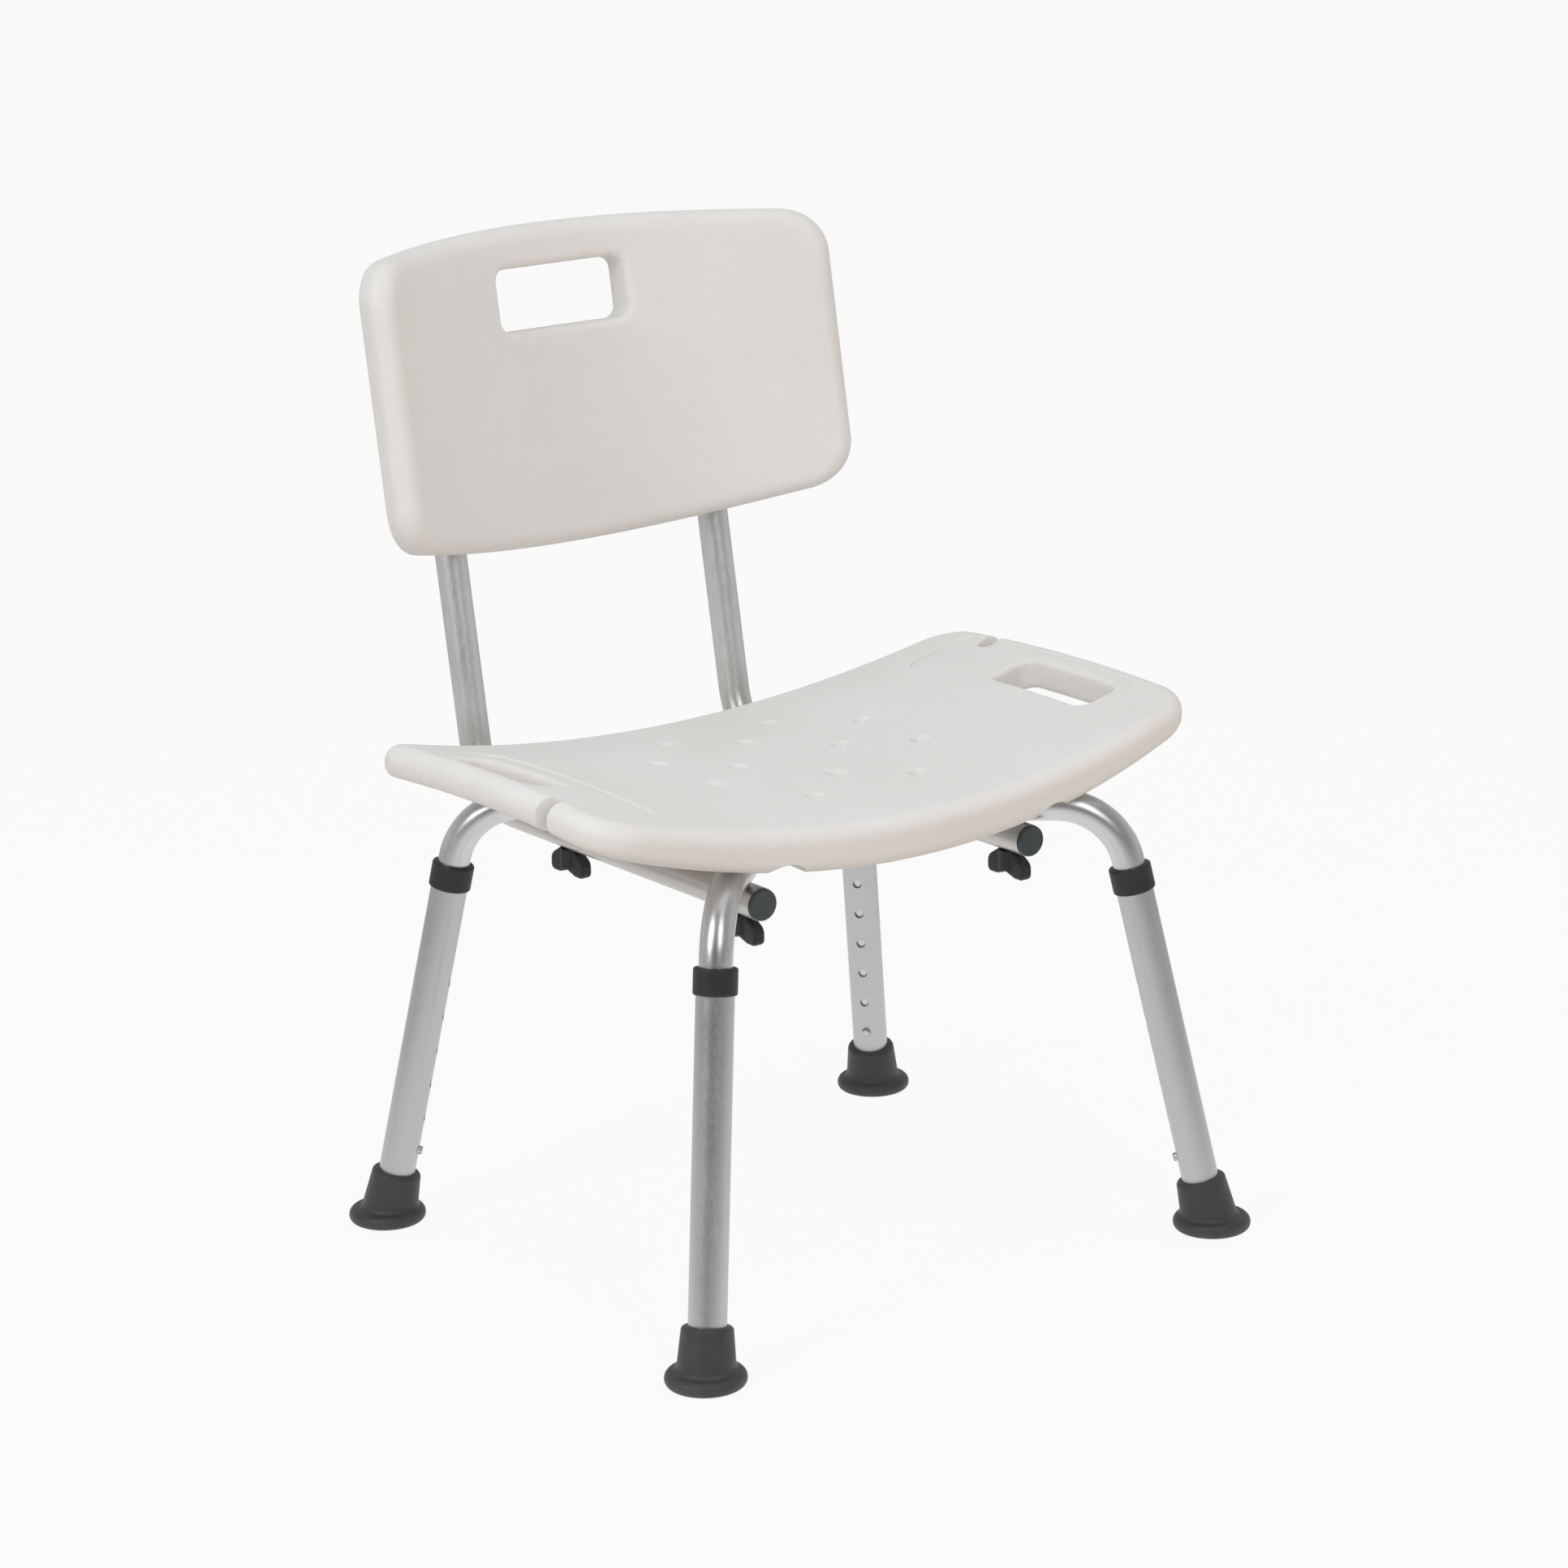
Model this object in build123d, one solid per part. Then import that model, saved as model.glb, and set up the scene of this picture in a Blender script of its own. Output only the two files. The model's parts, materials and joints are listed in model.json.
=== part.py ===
from build123d import *
from math import asin, cos, degrees, radians, sin, sqrt, tan
import os

# Shower chair: a dished, drained seat on two crossing bent tubes whose ends are the
# upper legs, four lower legs that slide on them and lock with snap buttons, and a
# curved backrest on two bent tubes, all clamped to the seat by four wing screws.
# Millimetres, +Z up, the front of the chair faces -Y, left and right as seen from
# the front. The origin is on the floor under the middle of the whole chair.

# Stance of the legs
FOOT_REACH = 289.7
DIAGONAL_ANGLE = 41.4
LEG_SPLAY = 12.3

# Frame tubes: the cross tubes with the upper legs, and the back tubes
FRAME_TUBE_OD = 22.2
FRAME_TUBE_WALL = 1.5
BEND_RADIUS = 50.0
CROSS_TUBE_Z = 305.7
PRESSED_FLAT = 0.6
DIP_HALF_FLAT = 18.0
DIP_ANGLE = 30.0

# Lower legs, distances measured up the leg from the floor
LEG_TUBE_WALL = 1.3
LEG_SLIDE_CLEARANCE = 0.3
LEG_TUBE_TOP = 266.0
LOCK_HOLE_FIRST = 56.0
LOCK_HOLE_PITCH = 25.4
LOCK_HOLE_COUNT = 6
UPPER_LEG_BELOW_BUTTON = 20.0

# Collar on top of each lower leg
COLLAR_OD = 29.2
COLLAR_HEIGHT = 18.0
COLLAR_LIP = 3.0
COLLAR_EDGE = 1.5
COLLAR_GUIDE_CLEARANCE = 0.15
COLLAR_FIT = 0.05

# Rubber tips and the steel washer inside each
TIP_FLANGE_OD = 54.0
TIP_FLANGE_HEIGHT = 10.0
TIP_SOCKET_TOP_OD = 34.0
TIP_SOCKET_BASE_OD = 41.0
TIP_HEIGHT = 38.0
TIP_FLOOR = 9.0
TIP_FIT = 0.05
TIP_EDGE = 3.0
TIP_HEEL = 4.5
TIP_FLARE = 4.0
TIP_GROOVE_DEPTH = 1.6
TIP_GROOVE_WIDTH = 3.0
TIP_GROOVE_RADII = (9.0, 17.0)
TIP_WASHER_THICKNESS = 1.5
TIP_WASHER_HOLE = 8.0

# Snap button on its spring leaf
BUTTON_DIAMETER = 6.0
BUTTON_PROUD = 2.6
BUTTON_HOLE_CLEARANCE = 0.3
BUTTON_EDGE = 1.2
LEAF_THICKNESS = 0.8
LEAF_WIDTH = 8.0
LEAF_BELOW_BUTTON = 9.0
LEAF_APEX_ABOVE_BUTTON = 46.0
LEAF_APEX_RADIUS = 3.5
LEAF_GAP = 0.25

# Seat panel
SEAT_WIDTH = 506.0
SEAT_DEPTH = 307.0
SEAT_THICKNESS = 31.0
SEAT_END_THICKNESS = 22.5
SEAT_CENTRE_Y = -2.5
SEAT_TOP_ABOVE_TUBE = 34.1
SEAT_DISH_RADIUS = 925.0
SEAT_CROWN_RADIUS = 1670.0
SEAT_BOW = 20.0
SEAT_CORNER = 36.0
SEAT_TOP_EDGE = 11.0
SEAT_BOTTOM_EDGE = 9.0
SEAT_TUBE_CLEARANCE = 0.2
SEAT_CHANNEL_RADIUS = 22.0
SEAT_CHANNEL_ABOVE_TUBE = 1.4
GRIP_RECESS_WIDTH = 58.0
GRIP_RECESS_LENGTH = 192.0
GRIP_RECESS_INSET = 15.0
GRIP_RECESS_OFFSET = 6.5
GRIP_RECESS_DEPTH = 1.4
GRIP_RECESS_CORNER = 14.0
GRIP_RECESS_EDGE = 1.0
GRIP_SLOT_WIDTH = 34.0
GRIP_SLOT_LENGTH = 98.0
GRIP_SLOT_INSET = 24.0
GRIP_SLOT_OFFSET = 28.0
GRIP_SLOT_CORNER = 9.0
GRIP_SLOT_EDGE = 4.0
HOOK_NOTCH_WIDTH = 13.0
HOOK_NOTCH_DEPTH = 25.0
HOOK_NOTCH_OFFSET = 74.0
DRAIN_DIAMETER = 7.0
DRAIN_SINK_DIAMETER = 15.0
DRAIN_RIM = 1.5
DRAIN_WALL = 5.5
DRAIN_WELL_TOP = 13.0
DRAIN_WELL_MOUTH = 20.0
DRAIN_COLUMN_PITCH = 43.6
DRAIN_LONG_COLUMN = 85.0
DRAIN_MIDDLE_COLUMN = 52.0
DRAIN_OUTER_COLUMN = 33.0

# Back tubes, the upright part measured up its slope from the bend's corner
BACK_TUBE_SPACING = 226.2
BACK_TUBE_FRONT_Y = -121.0
BACK_CORNER_Y = 209.2
BACK_RECLINE = 9.6
BACK_TUBE_LENGTH = 336.0

# Backrest panel
BACKREST_WIDTH = 388.0
BACKREST_HEIGHT = 227.5
BACKREST_TUBE_COVER = 167.3
BACKREST_THICKNESS = 27.0
BACKREST_RADIUS = 280.0
BACKREST_BEHIND_TUBES = 5.0
BACKREST_TOP_BOW = 16.0
BACKREST_BOTTOM_BOW = 18.0
BACKREST_CORNER = 32.0
BACKREST_FRONT_EDGE = 11.0
BACKREST_REAR_EDGE = 8.0
BACK_GRIP_WIDTH = 109.0
BACK_GRIP_HEIGHT = 44.0
BACK_GRIP_BELOW_TOP = 52.0
BACK_GRIP_CORNER = 9.0
BACK_GRIP_EDGE = 6.0
BACK_CHANNEL_CLEARANCE = 0.2

# Plugs in the ends of the back tubes
PLUG_HEAD = 3.0
PLUG_REVEAL = 0.4
PLUG_SPIGOT = 14.0
PLUG_FIT = 0.05
PLUG_DOME = 1.5

# Wing screws with their threaded inserts in the seat
STUD_DIAMETER = 6.0
STUD_HOLE_CLEARANCE = 0.3
STUD_THREAD_CLEARANCE = 0.15
STUD_ENGAGEMENT = 13.0
STUD_IN_KNOB = 11.0
WING_SPAN = 38.0
WING_HEIGHT = 18.5
WING_THICKNESS = 9.0
WING_TIP_DROP = 7.0
WING_ARCH = 3.0
WING_HUB_DIAMETER = 15.0
WING_HUB_HEIGHT = 13.0
WING_CORNER = 4.0
WING_SHOULDER = 7.0
WING_EDGE = 2.2
WING_RUNNING_GAP = 0.3
INSERT_DIAMETER = 10.0
INSERT_LENGTH = 15.0
INSERT_FIT = 0.05
INSERT_LIFT = 0.3

# Bolt that pins the two cross tubes together
BOLT_DIAMETER = 6.0
BOLT_HOLE_CLEARANCE = 0.3
BOLT_HEAD_DIAMETER = 13.0
BOLT_HEAD_HEIGHT = 4.0
BOLT_TAIL = 8.0
NUT_ACROSS_FLATS = 10.0
NUT_HEIGHT = 5.0
NUT_FIT = 0.05
BOLT_POCKET_CLEARANCE = 1.0

# Screws and inserts that hold the backrest to its tubes
BACK_SCREW_DIAMETER = 5.0
BACK_SCREW_HEAD_DIAMETER = 10.0
BACK_SCREW_HEAD_HEIGHT = 3.0
BACK_SCREW_REACH = 10.0
BACK_SCREW_CLEARANCE = 0.3
BACK_SCREW_HEIGHTS = (30.0, 120.0)
BACK_INSERT_DIAMETER = 8.0
BACK_INSERT_LENGTH = 10.0
BACK_INSERT_LIFT = 0.3

# Sizes that follow from the ones above
FRAME_R = FRAME_TUBE_OD / 2
FRAME_BORE_R = FRAME_R - FRAME_TUBE_WALL
LEG_BORE_R = FRAME_R + LEG_SLIDE_CLEARANCE
LEG_R = LEG_BORE_R + LEG_TUBE_WALL
CROSSING_DROP = FRAME_TUBE_OD - 2 * PRESSED_FLAT
BACK_TUBE_Z = CROSS_TUBE_Z - CROSSING_DROP
SEAT_TOP_Z = CROSS_TUBE_Z + SEAT_TOP_ABOVE_TUBE
BACKREST_BOTTOM = BACK_TUBE_LENGTH - BACKREST_TUBE_COVER
LEG_TUBE_BOTTOM = TIP_FLOOR + TIP_WASHER_THICKNESS
UPPER_LEG_END = LOCK_HOLE_FIRST - UPPER_LEG_BELOW_BUTTON
COLLAR_BOTTOM = LEG_TUBE_TOP + COLLAR_LIP - COLLAR_HEIGHT
BACK_TUBE_X = BACK_TUBE_SPACING / 2
WING_X = BACK_TUBE_X
WING_Y = WING_X * tan(radians(DIAGONAL_ANGLE))
STUD_HOLE_R = STUD_DIAMETER / 2 + STUD_HOLE_CLEARANCE
BUTTON_HOLE_R = BUTTON_DIAMETER / 2 + BUTTON_HOLE_CLEARANCE
BOLT_HOLE_R = BOLT_DIAMETER / 2 + BOLT_HOLE_CLEARANCE
LONG = 4 * SEAT_WIDTH

LEG_SIGNS = {
    "front_left": (-1, -1),
    "front_right": (1, -1),
    "rear_left": (-1, 1),
    "rear_right": (1, 1),
}
SIDES = {"left": -1, "right": 1}

parts = {}
flat_cutter = Box(FRAME_TUBE_OD, FRAME_TUBE_OD, FRAME_TUBE_OD)
stud_hole = Cylinder(STUD_HOLE_R, 2 * FRAME_TUBE_OD)


def hollow_tube(path, outer_radius, bore_radius):
    # A round tube swept along a bent centre line, open at both ends.
    start = Plane(origin=path @ 0, z_dir=path % 0)
    outer = sweep(start * Circle(outer_radius), path=path)
    bore = sweep(start * Circle(bore_radius), path=path)
    return outer - bore


def upright_cylinder(radius, bottom, top, x=0.0, y=0.0):
    height = top - bottom
    return Pos(x, y, bottom + height / 2) * Cylinder(radius, height)


def slab(width, depth, bottom, top):
    height = top - bottom
    return Pos(0, 0, bottom + height / 2) * Box(width, depth, height)


def edges_near(shape, centre, reach):
    # Edges whose middle lies inside a box of half-size reach about centre.
    return shape.edges().filter_by(
        lambda edge: all(abs(a - b) <= r for a, b, r in zip(edge @ 0.5, centre, reach))
    )


def leg_frame(signs):
    # X points from the leg in to the middle of the chair, Z runs up the leg.
    angle = radians(DIAGONAL_ANGLE)
    lean = radians(LEG_SPLAY)
    out_x = signs[0] * cos(angle)
    out_y = signs[1] * sin(angle)
    inward = (-out_x * cos(lean), -out_y * cos(lean), -sin(lean))
    upward = (-out_x * sin(lean), -out_y * sin(lean), cos(lean))
    return Plane(origin=(out_x * FOOT_REACH, out_y * FOOT_REACH, 0), x_dir=inward, z_dir=upward)


def diagonal_frame(sign):
    # X runs along one diagonal of the chair, Y is up.
    angle = radians(DIAGONAL_ANGLE)
    along = (cos(angle), sign * sin(angle), 0)
    across = (along[1], -along[0], 0)
    return Plane(origin=(0, 0, 0), x_dir=along, z_dir=across)


def lock_hole(wall_radius, distance):
    # A hole through the inner side of a leg's tube, in the leg's own frame.
    return Pos(wall_radius, 0, distance) * Rot(0, 90, 0) * Cylinder(BUTTON_HOLE_R, wall_radius)


# Cross tubes: each runs up one leg, over the middle and down the opposite leg

def cross_tube(sign, dips):
    lean = radians(LEG_SPLAY)
    corner = FOOT_REACH - CROSS_TUBE_Z * tan(lean)
    foot_r = FOOT_REACH - UPPER_LEG_END * sin(lean)
    foot_z = UPPER_LEG_END * cos(lean)
    dip_outer = DIP_HALF_FLAT + CROSSING_DROP / tan(radians(DIP_ANGLE))
    half = [(foot_r, foot_z), (corner, CROSS_TUBE_Z)]
    middle_z = CROSS_TUBE_Z
    if dips:
        middle_z = CROSS_TUBE_Z - CROSSING_DROP
        half = half + [(dip_outer, CROSS_TUBE_Z), (DIP_HALF_FLAT, middle_z)]
    other_half = [(-r, z) for r, z in reversed(half)]
    frame = diagonal_frame(sign)
    path = frame * FilletPolyline(*half, *other_half, radius=BEND_RADIUS)
    tube = hollow_tube(path, FRAME_R, FRAME_BORE_R)
    for end in (-1, 1):
        x = end * WING_X
        y = end * sign * WING_Y
        tube -= Pos(x, y, CROSS_TUBE_Z - 2 * FRAME_R + PRESSED_FLAT) * flat_cutter
        tube -= Pos(x, y, CROSS_TUBE_Z) * stud_hole
    for side in (-1, 1):
        tube -= Pos(0, 0, middle_z + side * (2 * FRAME_R - PRESSED_FLAT)) * flat_cutter
    tube -= upright_cylinder(BOLT_HOLE_R, middle_z - FRAME_TUBE_OD, middle_z + FRAME_TUBE_OD)
    for name, signs in LEG_SIGNS.items():
        if signs[0] * signs[1] == sign:
            tube -= leg_frame(signs).location * lock_hole(FRAME_R, LOCK_HOLE_FIRST)
    return tube


parts["cross_tube_upper"] = cross_tube(1, False)
parts["cross_tube_lower"] = cross_tube(-1, True)

# The bolt and nut through the middle of the crossing

bolt_seat = CROSS_TUBE_Z + FRAME_R - PRESSED_FLAT
nut_seat = CROSS_TUBE_Z - CROSSING_DROP - FRAME_R + PRESSED_FLAT
bolt_head = upright_cylinder(BOLT_HEAD_DIAMETER / 2, bolt_seat, bolt_seat + BOLT_HEAD_HEIGHT)
bolt_head = fillet(bolt_head.edges().group_by(Axis.Z)[-1], BOLT_HEAD_HEIGHT / 2)
parts["cross_bolt"] = bolt_head + upright_cylinder(BOLT_DIAMETER / 2, nut_seat - BOLT_TAIL, bolt_seat)
nut_body = extrude(RegularPolygon(NUT_ACROSS_FLATS / 2, 6, major_radius=False), NUT_HEIGHT)
nut_body = Pos(0, 0, nut_seat - NUT_HEIGHT) * nut_body
nut_hole = upright_cylinder(BOLT_DIAMETER / 2 + NUT_FIT, nut_seat - 2 * NUT_HEIGHT, nut_seat + NUT_HEIGHT)
parts["cross_nut"] = nut_body - nut_hole

# Lower legs with their collars, tips, washers and snap buttons, all made in a leg's own frame

leg_tube = upright_cylinder(LEG_R, LEG_TUBE_BOTTOM, LEG_TUBE_TOP)
leg_tube -= upright_cylinder(LEG_BORE_R, LEG_TUBE_BOTTOM - 1, LEG_TUBE_TOP + 1)
for step in range(LOCK_HOLE_COUNT):
    hole_s = LOCK_HOLE_FIRST + step * LOCK_HOLE_PITCH
    leg_tube -= lock_hole(LEG_R, hole_s)

collar_top = COLLAR_BOTTOM + COLLAR_HEIGHT
collar = upright_cylinder(COLLAR_OD / 2, COLLAR_BOTTOM, collar_top)
collar = fillet(collar.edges().filter_by(GeomType.CIRCLE), COLLAR_EDGE)
collar -= upright_cylinder(LEG_R + COLLAR_FIT, COLLAR_BOTTOM - 1, LEG_TUBE_TOP)
collar -= upright_cylinder(FRAME_R + COLLAR_GUIDE_CLEARANCE, COLLAR_BOTTOM, collar_top + 1)

to_floor = Rot(0, -LEG_SPLAY, 0)
socket = Pos(0, 0, TIP_HEIGHT / 2) * Cone(TIP_SOCKET_BASE_OD / 2, TIP_SOCKET_TOP_OD / 2, TIP_HEIGHT)
socket = fillet(socket.edges().group_by(Axis.Z)[-1], TIP_EDGE)
flange = upright_cylinder(TIP_FLANGE_OD / 2, 0, TIP_FLANGE_HEIGHT)
flange = fillet(flange.edges().group_by(Axis.Z)[-1], TIP_FLANGE_HEIGHT / 2)
flange = fillet(flange.edges().group_by(Axis.Z)[0], TIP_HEEL)
socket -= to_floor * slab(LONG, LONG, -LONG, 0)
flange = to_floor * flange
tip = socket + flange
flare_edges = new_edges(socket, flange, combined=tip)
flare_edges = flare_edges.filter_by(lambda edge: edge.center().Z > TIP_FLANGE_HEIGHT / 2)
tip = fillet(flare_edges, TIP_FLARE)
tip -= upright_cylinder(LEG_R + TIP_FIT, TIP_FLOOR, TIP_HEIGHT + 1)
for groove_r in TIP_GROOVE_RADII:
    groove = upright_cylinder(groove_r + TIP_GROOVE_WIDTH / 2, -1, TIP_GROOVE_DEPTH)
    groove -= upright_cylinder(groove_r - TIP_GROOVE_WIDTH / 2, -1, TIP_GROOVE_DEPTH)
    tip -= to_floor * groove

washer = upright_cylinder(LEG_R - TIP_FIT, TIP_FLOOR, LEG_TUBE_BOTTOM)
washer -= upright_cylinder(TIP_WASHER_HOLE / 2, TIP_FLOOR - 1, LEG_TUBE_BOTTOM + 1)

# The leaf is a narrow V inside the upper leg: its front arm carries the button and its
# back arm bears on the far wall.
leaf_x = sqrt(FRAME_BORE_R ** 2 - (LEAF_WIDTH / 2) ** 2) - LEAF_GAP - LEAF_THICKNESS / 2
leaf_end = LOCK_HOLE_FIRST - LEAF_BELOW_BUTTON
leaf_apex = LOCK_HOLE_FIRST + LEAF_APEX_ABOVE_BUTTON
leaf_points = [(leaf_x, leaf_end), (leaf_x, leaf_apex), (-leaf_x, leaf_end)]
leaf_path = Plane.XZ * FilletPolyline(*leaf_points, radius=LEAF_APEX_RADIUS)
leaf_start = Plane(origin=leaf_path @ 0, x_dir=(1, 0, 0), z_dir=leaf_path % 0)
leaf = sweep(leaf_start * Rectangle(LEAF_THICKNESS, LEAF_WIDTH), path=leaf_path)
button_tip = LEG_R + BUTTON_PROUD
button_length = button_tip - leaf_x
button = Rot(0, 90, 0) * Cylinder(BUTTON_DIAMETER / 2, button_length)
button = Pos(leaf_x + button_length / 2, 0, LOCK_HOLE_FIRST) * button
button = fillet(button.edges().sort_by(Axis.X)[-1], BUTTON_EDGE)
snap_clip = leaf + button

for name, signs in LEG_SIGNS.items():
    place = leg_frame(signs).location
    parts["lower_leg_" + name] = place * leg_tube
    parts["leg_collar_" + name] = place * collar
    parts["foot_tip_" + name] = place * tip
    parts["tip_washer_" + name] = place * washer
    parts["snap_clip_" + name] = place * snap_clip

# Back tubes and the plugs in their ends. In the back's frame X is across, Y runs up the
# slope from the corner of the tubes' bend and Z points forward to the sitter.

recline = radians(BACK_RECLINE)
upright_dir = (0, sin(recline), cos(recline))
forward_dir = (0, -cos(recline), sin(recline))
back_frame = Plane(origin=(0, BACK_CORNER_Y, BACK_TUBE_Z), x_dir=(1, 0, 0), z_dir=forward_dir)
back_top_y = BACK_CORNER_Y + BACK_TUBE_LENGTH * sin(recline)
back_top_z = BACK_TUBE_Z + BACK_TUBE_LENGTH * cos(recline)


def back_tube(x):
    points = [(BACK_TUBE_FRONT_Y, BACK_TUBE_Z), (BACK_CORNER_Y, BACK_TUBE_Z), (back_top_y, back_top_z)]
    path = Plane.YZ.offset(x) * FilletPolyline(*points, radius=BEND_RADIUS)
    tube = hollow_tube(path, FRAME_R, FRAME_BORE_R)
    for y in (-WING_Y, WING_Y):
        for side in (-1, 1):
            tube -= Pos(x, y, BACK_TUBE_Z + side * (2 * FRAME_R - PRESSED_FLAT)) * flat_cutter
        tube -= Pos(x, y, BACK_TUBE_Z) * stud_hole
    for rise in BACK_SCREW_HEIGHTS:
        spot = back_frame.location * Pos(x, BACKREST_BOTTOM + rise, 0)
        screw_r = BACK_SCREW_DIAMETER / 2 + BACK_SCREW_CLEARANCE
        tube -= spot * Pos(0, 0, PRESSED_FLAT - 2 * FRAME_R) * flat_cutter
        tube -= spot * upright_cylinder(screw_r, -FRAME_TUBE_OD, FRAME_TUBE_OD)
    return tube


plug = upright_cylinder(FRAME_R - PLUG_REVEAL, 0, PLUG_HEAD)
plug = fillet(plug.edges().group_by(Axis.Z)[-1], PLUG_DOME)
plug += upright_cylinder(FRAME_BORE_R - PLUG_FIT, -PLUG_SPIGOT, 0)

for word, side in SIDES.items():
    x = side * BACK_TUBE_X
    front_end = Plane(origin=(x, BACK_TUBE_FRONT_Y, BACK_TUBE_Z), x_dir=(1, 0, 0), z_dir=(0, -1, 0))
    top_end = Plane(origin=(x, back_top_y, back_top_z), x_dir=(1, 0, 0), z_dir=upright_dir)
    parts["back_tube_" + word] = back_tube(x)
    parts["front_plug_" + word] = front_end.location * plug
    parts["top_plug_" + word] = top_end.location * plug

# Backrest: a panel curved round the sitter, with bowed top and bottom edges, a grip slot,
# and a channel in its rear for each back tube

back_bottom = BACKREST_BOTTOM
back_top = BACKREST_BOTTOM + BACKREST_HEIGHT
half_width = BACKREST_WIDTH / 2
side_bottom = back_bottom + BACKREST_BOTTOM_BOW
side_top = back_top - BACKREST_TOP_BOW
back_outline = make_face(
    [
        ThreePointArc((-half_width, side_bottom), (0, back_bottom), (half_width, side_bottom)),
        Line((half_width, side_bottom), (half_width, side_top)),
        ThreePointArc((half_width, side_top), (0, back_top), (-half_width, side_top)),
        Line((-half_width, side_top), (-half_width, side_bottom)),
    ]
)
back_outline = fillet(back_outline.vertices(), BACKREST_CORNER)
back_axis_z = BACKREST_RADIUS - BACKREST_BEHIND_TUBES
back_middle = (back_bottom + back_top) / 2
back_front_r = BACKREST_RADIUS - BACKREST_THICKNESS / 2
back_rear_r = BACKREST_RADIUS + BACKREST_THICKNESS / 2
curved = Cylinder(back_rear_r, 2 * BACKREST_HEIGHT) - Cylinder(back_front_r, 2 * BACKREST_HEIGHT)
curved = Pos(0, back_middle, back_axis_z) * Rot(90, 0, 0) * curved
backrest = curved & Pos(0, 0, -BACKREST_WIDTH) * extrude(back_outline, 1.5 * BACKREST_WIDTH)
front_face = backrest.faces().sort_by(SortBy.AREA)[-2:].sort_by(Axis.Z)[-1]
backrest = fillet(front_face.edges(), BACKREST_FRONT_EDGE)
rear_face = backrest.faces().sort_by(SortBy.AREA)[-2:].sort_by(Axis.Z)[0]
backrest = fillet(rear_face.edges(), BACKREST_REAR_EDGE)
grip_y = back_top - BACK_GRIP_BELOW_TOP
grip_outline = Pos(0, grip_y) * RectangleRounded(BACK_GRIP_WIDTH, BACK_GRIP_HEIGHT, BACK_GRIP_CORNER)
backrest -= extrude(grip_outline, BACKREST_WIDTH, both=True)
grip_reach = (BACK_GRIP_WIDTH / 2 + 1, BACK_GRIP_HEIGHT / 2 + 1, BACKREST_RADIUS)
grip_edges = edges_near(backrest, (0, grip_y, 0), grip_reach)
grip_edges = grip_edges.filter_by(lambda edge: abs((edge @ 0).Z - (edge @ 1).Z) < BACKREST_THICKNESS / 2)
backrest = fillet(grip_edges, BACK_GRIP_EDGE)
channel_top = BACK_TUBE_LENGTH + 2 * PLUG_HEAD
channel_r = FRAME_R + BACK_CHANNEL_CLEARANCE
insert_start = channel_r + BACK_INSERT_LIFT
insert_end = insert_start + BACK_INSERT_LENGTH
insert_r = BACK_INSERT_DIAMETER / 2
screw_r = BACK_SCREW_DIAMETER / 2
screw_seat = PRESSED_FLAT - FRAME_R
back_screw = upright_cylinder(BACK_SCREW_HEAD_DIAMETER / 2, screw_seat - BACK_SCREW_HEAD_HEIGHT, screw_seat)
back_screw = fillet(back_screw.edges().group_by(Axis.Z)[0], BACK_SCREW_HEAD_HEIGHT / 2)
back_screw += upright_cylinder(screw_r, screw_seat, FRAME_R + BACK_SCREW_REACH)
back_insert = upright_cylinder(insert_r, insert_start, insert_end)
back_insert -= upright_cylinder(screw_r + STUD_THREAD_CLEARANCE, insert_start - 1, insert_end + 1)
back_screws = []
back_inserts = []
for side in SIDES.values():
    channel = Pos(side * BACK_TUBE_X, channel_top / 2, 0) * Rot(90, 0, 0) * Cylinder(channel_r, channel_top)
    backrest -= channel
    for rise in BACK_SCREW_HEIGHTS:
        spot = Pos(side * BACK_TUBE_X, back_bottom + rise, 0)
        backrest -= spot * upright_cylinder(insert_r + INSERT_FIT, 0, insert_end + INSERT_FIT)
        back_screws.append(back_frame.location * spot * back_screw)
        back_inserts.append(back_frame.location * spot * back_insert)

parts["backrest_panel"] = back_frame.location * backrest
parts["backrest_screws"] = Compound(children=back_screws)
parts["backrest_inserts"] = Compound(children=back_inserts)

# Seat: a fore-and-aft section swung about an axis high above the seat, which dishes it
# from side to side, trimmed to its plan outline

seat_half_width = SEAT_WIDTH / 2
seat_half_depth = SEAT_DEPTH / 2
seat_axis_z = SEAT_TOP_Z + SEAT_DISH_RADIUS


def seat_top_z(x, y):
    crown = SEAT_CROWN_RADIUS - sqrt(SEAT_CROWN_RADIUS ** 2 - (y - SEAT_CENTRE_Y) ** 2)
    swing_radius = SEAT_DISH_RADIUS + crown
    return seat_axis_z - sqrt(swing_radius ** 2 - x ** 2)


def swung_solid(middle_z, dish_radius, reach_z):
    # A crowned fore-and-aft section between middle_z and reach_z, swung into a dish.
    front = SEAT_CENTRE_Y - SEAT_DEPTH
    rear = SEAT_CENTRE_Y + SEAT_DEPTH
    edge_z = middle_z - SEAT_CROWN_RADIUS + sqrt(SEAT_CROWN_RADIUS ** 2 - SEAT_DEPTH ** 2)
    face = make_face(
        [
            ThreePointArc((front, edge_z), (SEAT_CENTRE_Y, middle_z), (rear, edge_z)),
            Polyline((rear, edge_z), (rear, reach_z), (front, reach_z), (front, edge_z)),
        ]
    )
    axis = Axis((0, 0, middle_z + dish_radius), (0, 1, 0))
    swing = degrees(asin(1.2 * seat_half_width / dish_radius))
    return revolve((Plane.YZ * face).rotate(axis, -swing), axis, 2 * swing)


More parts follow.
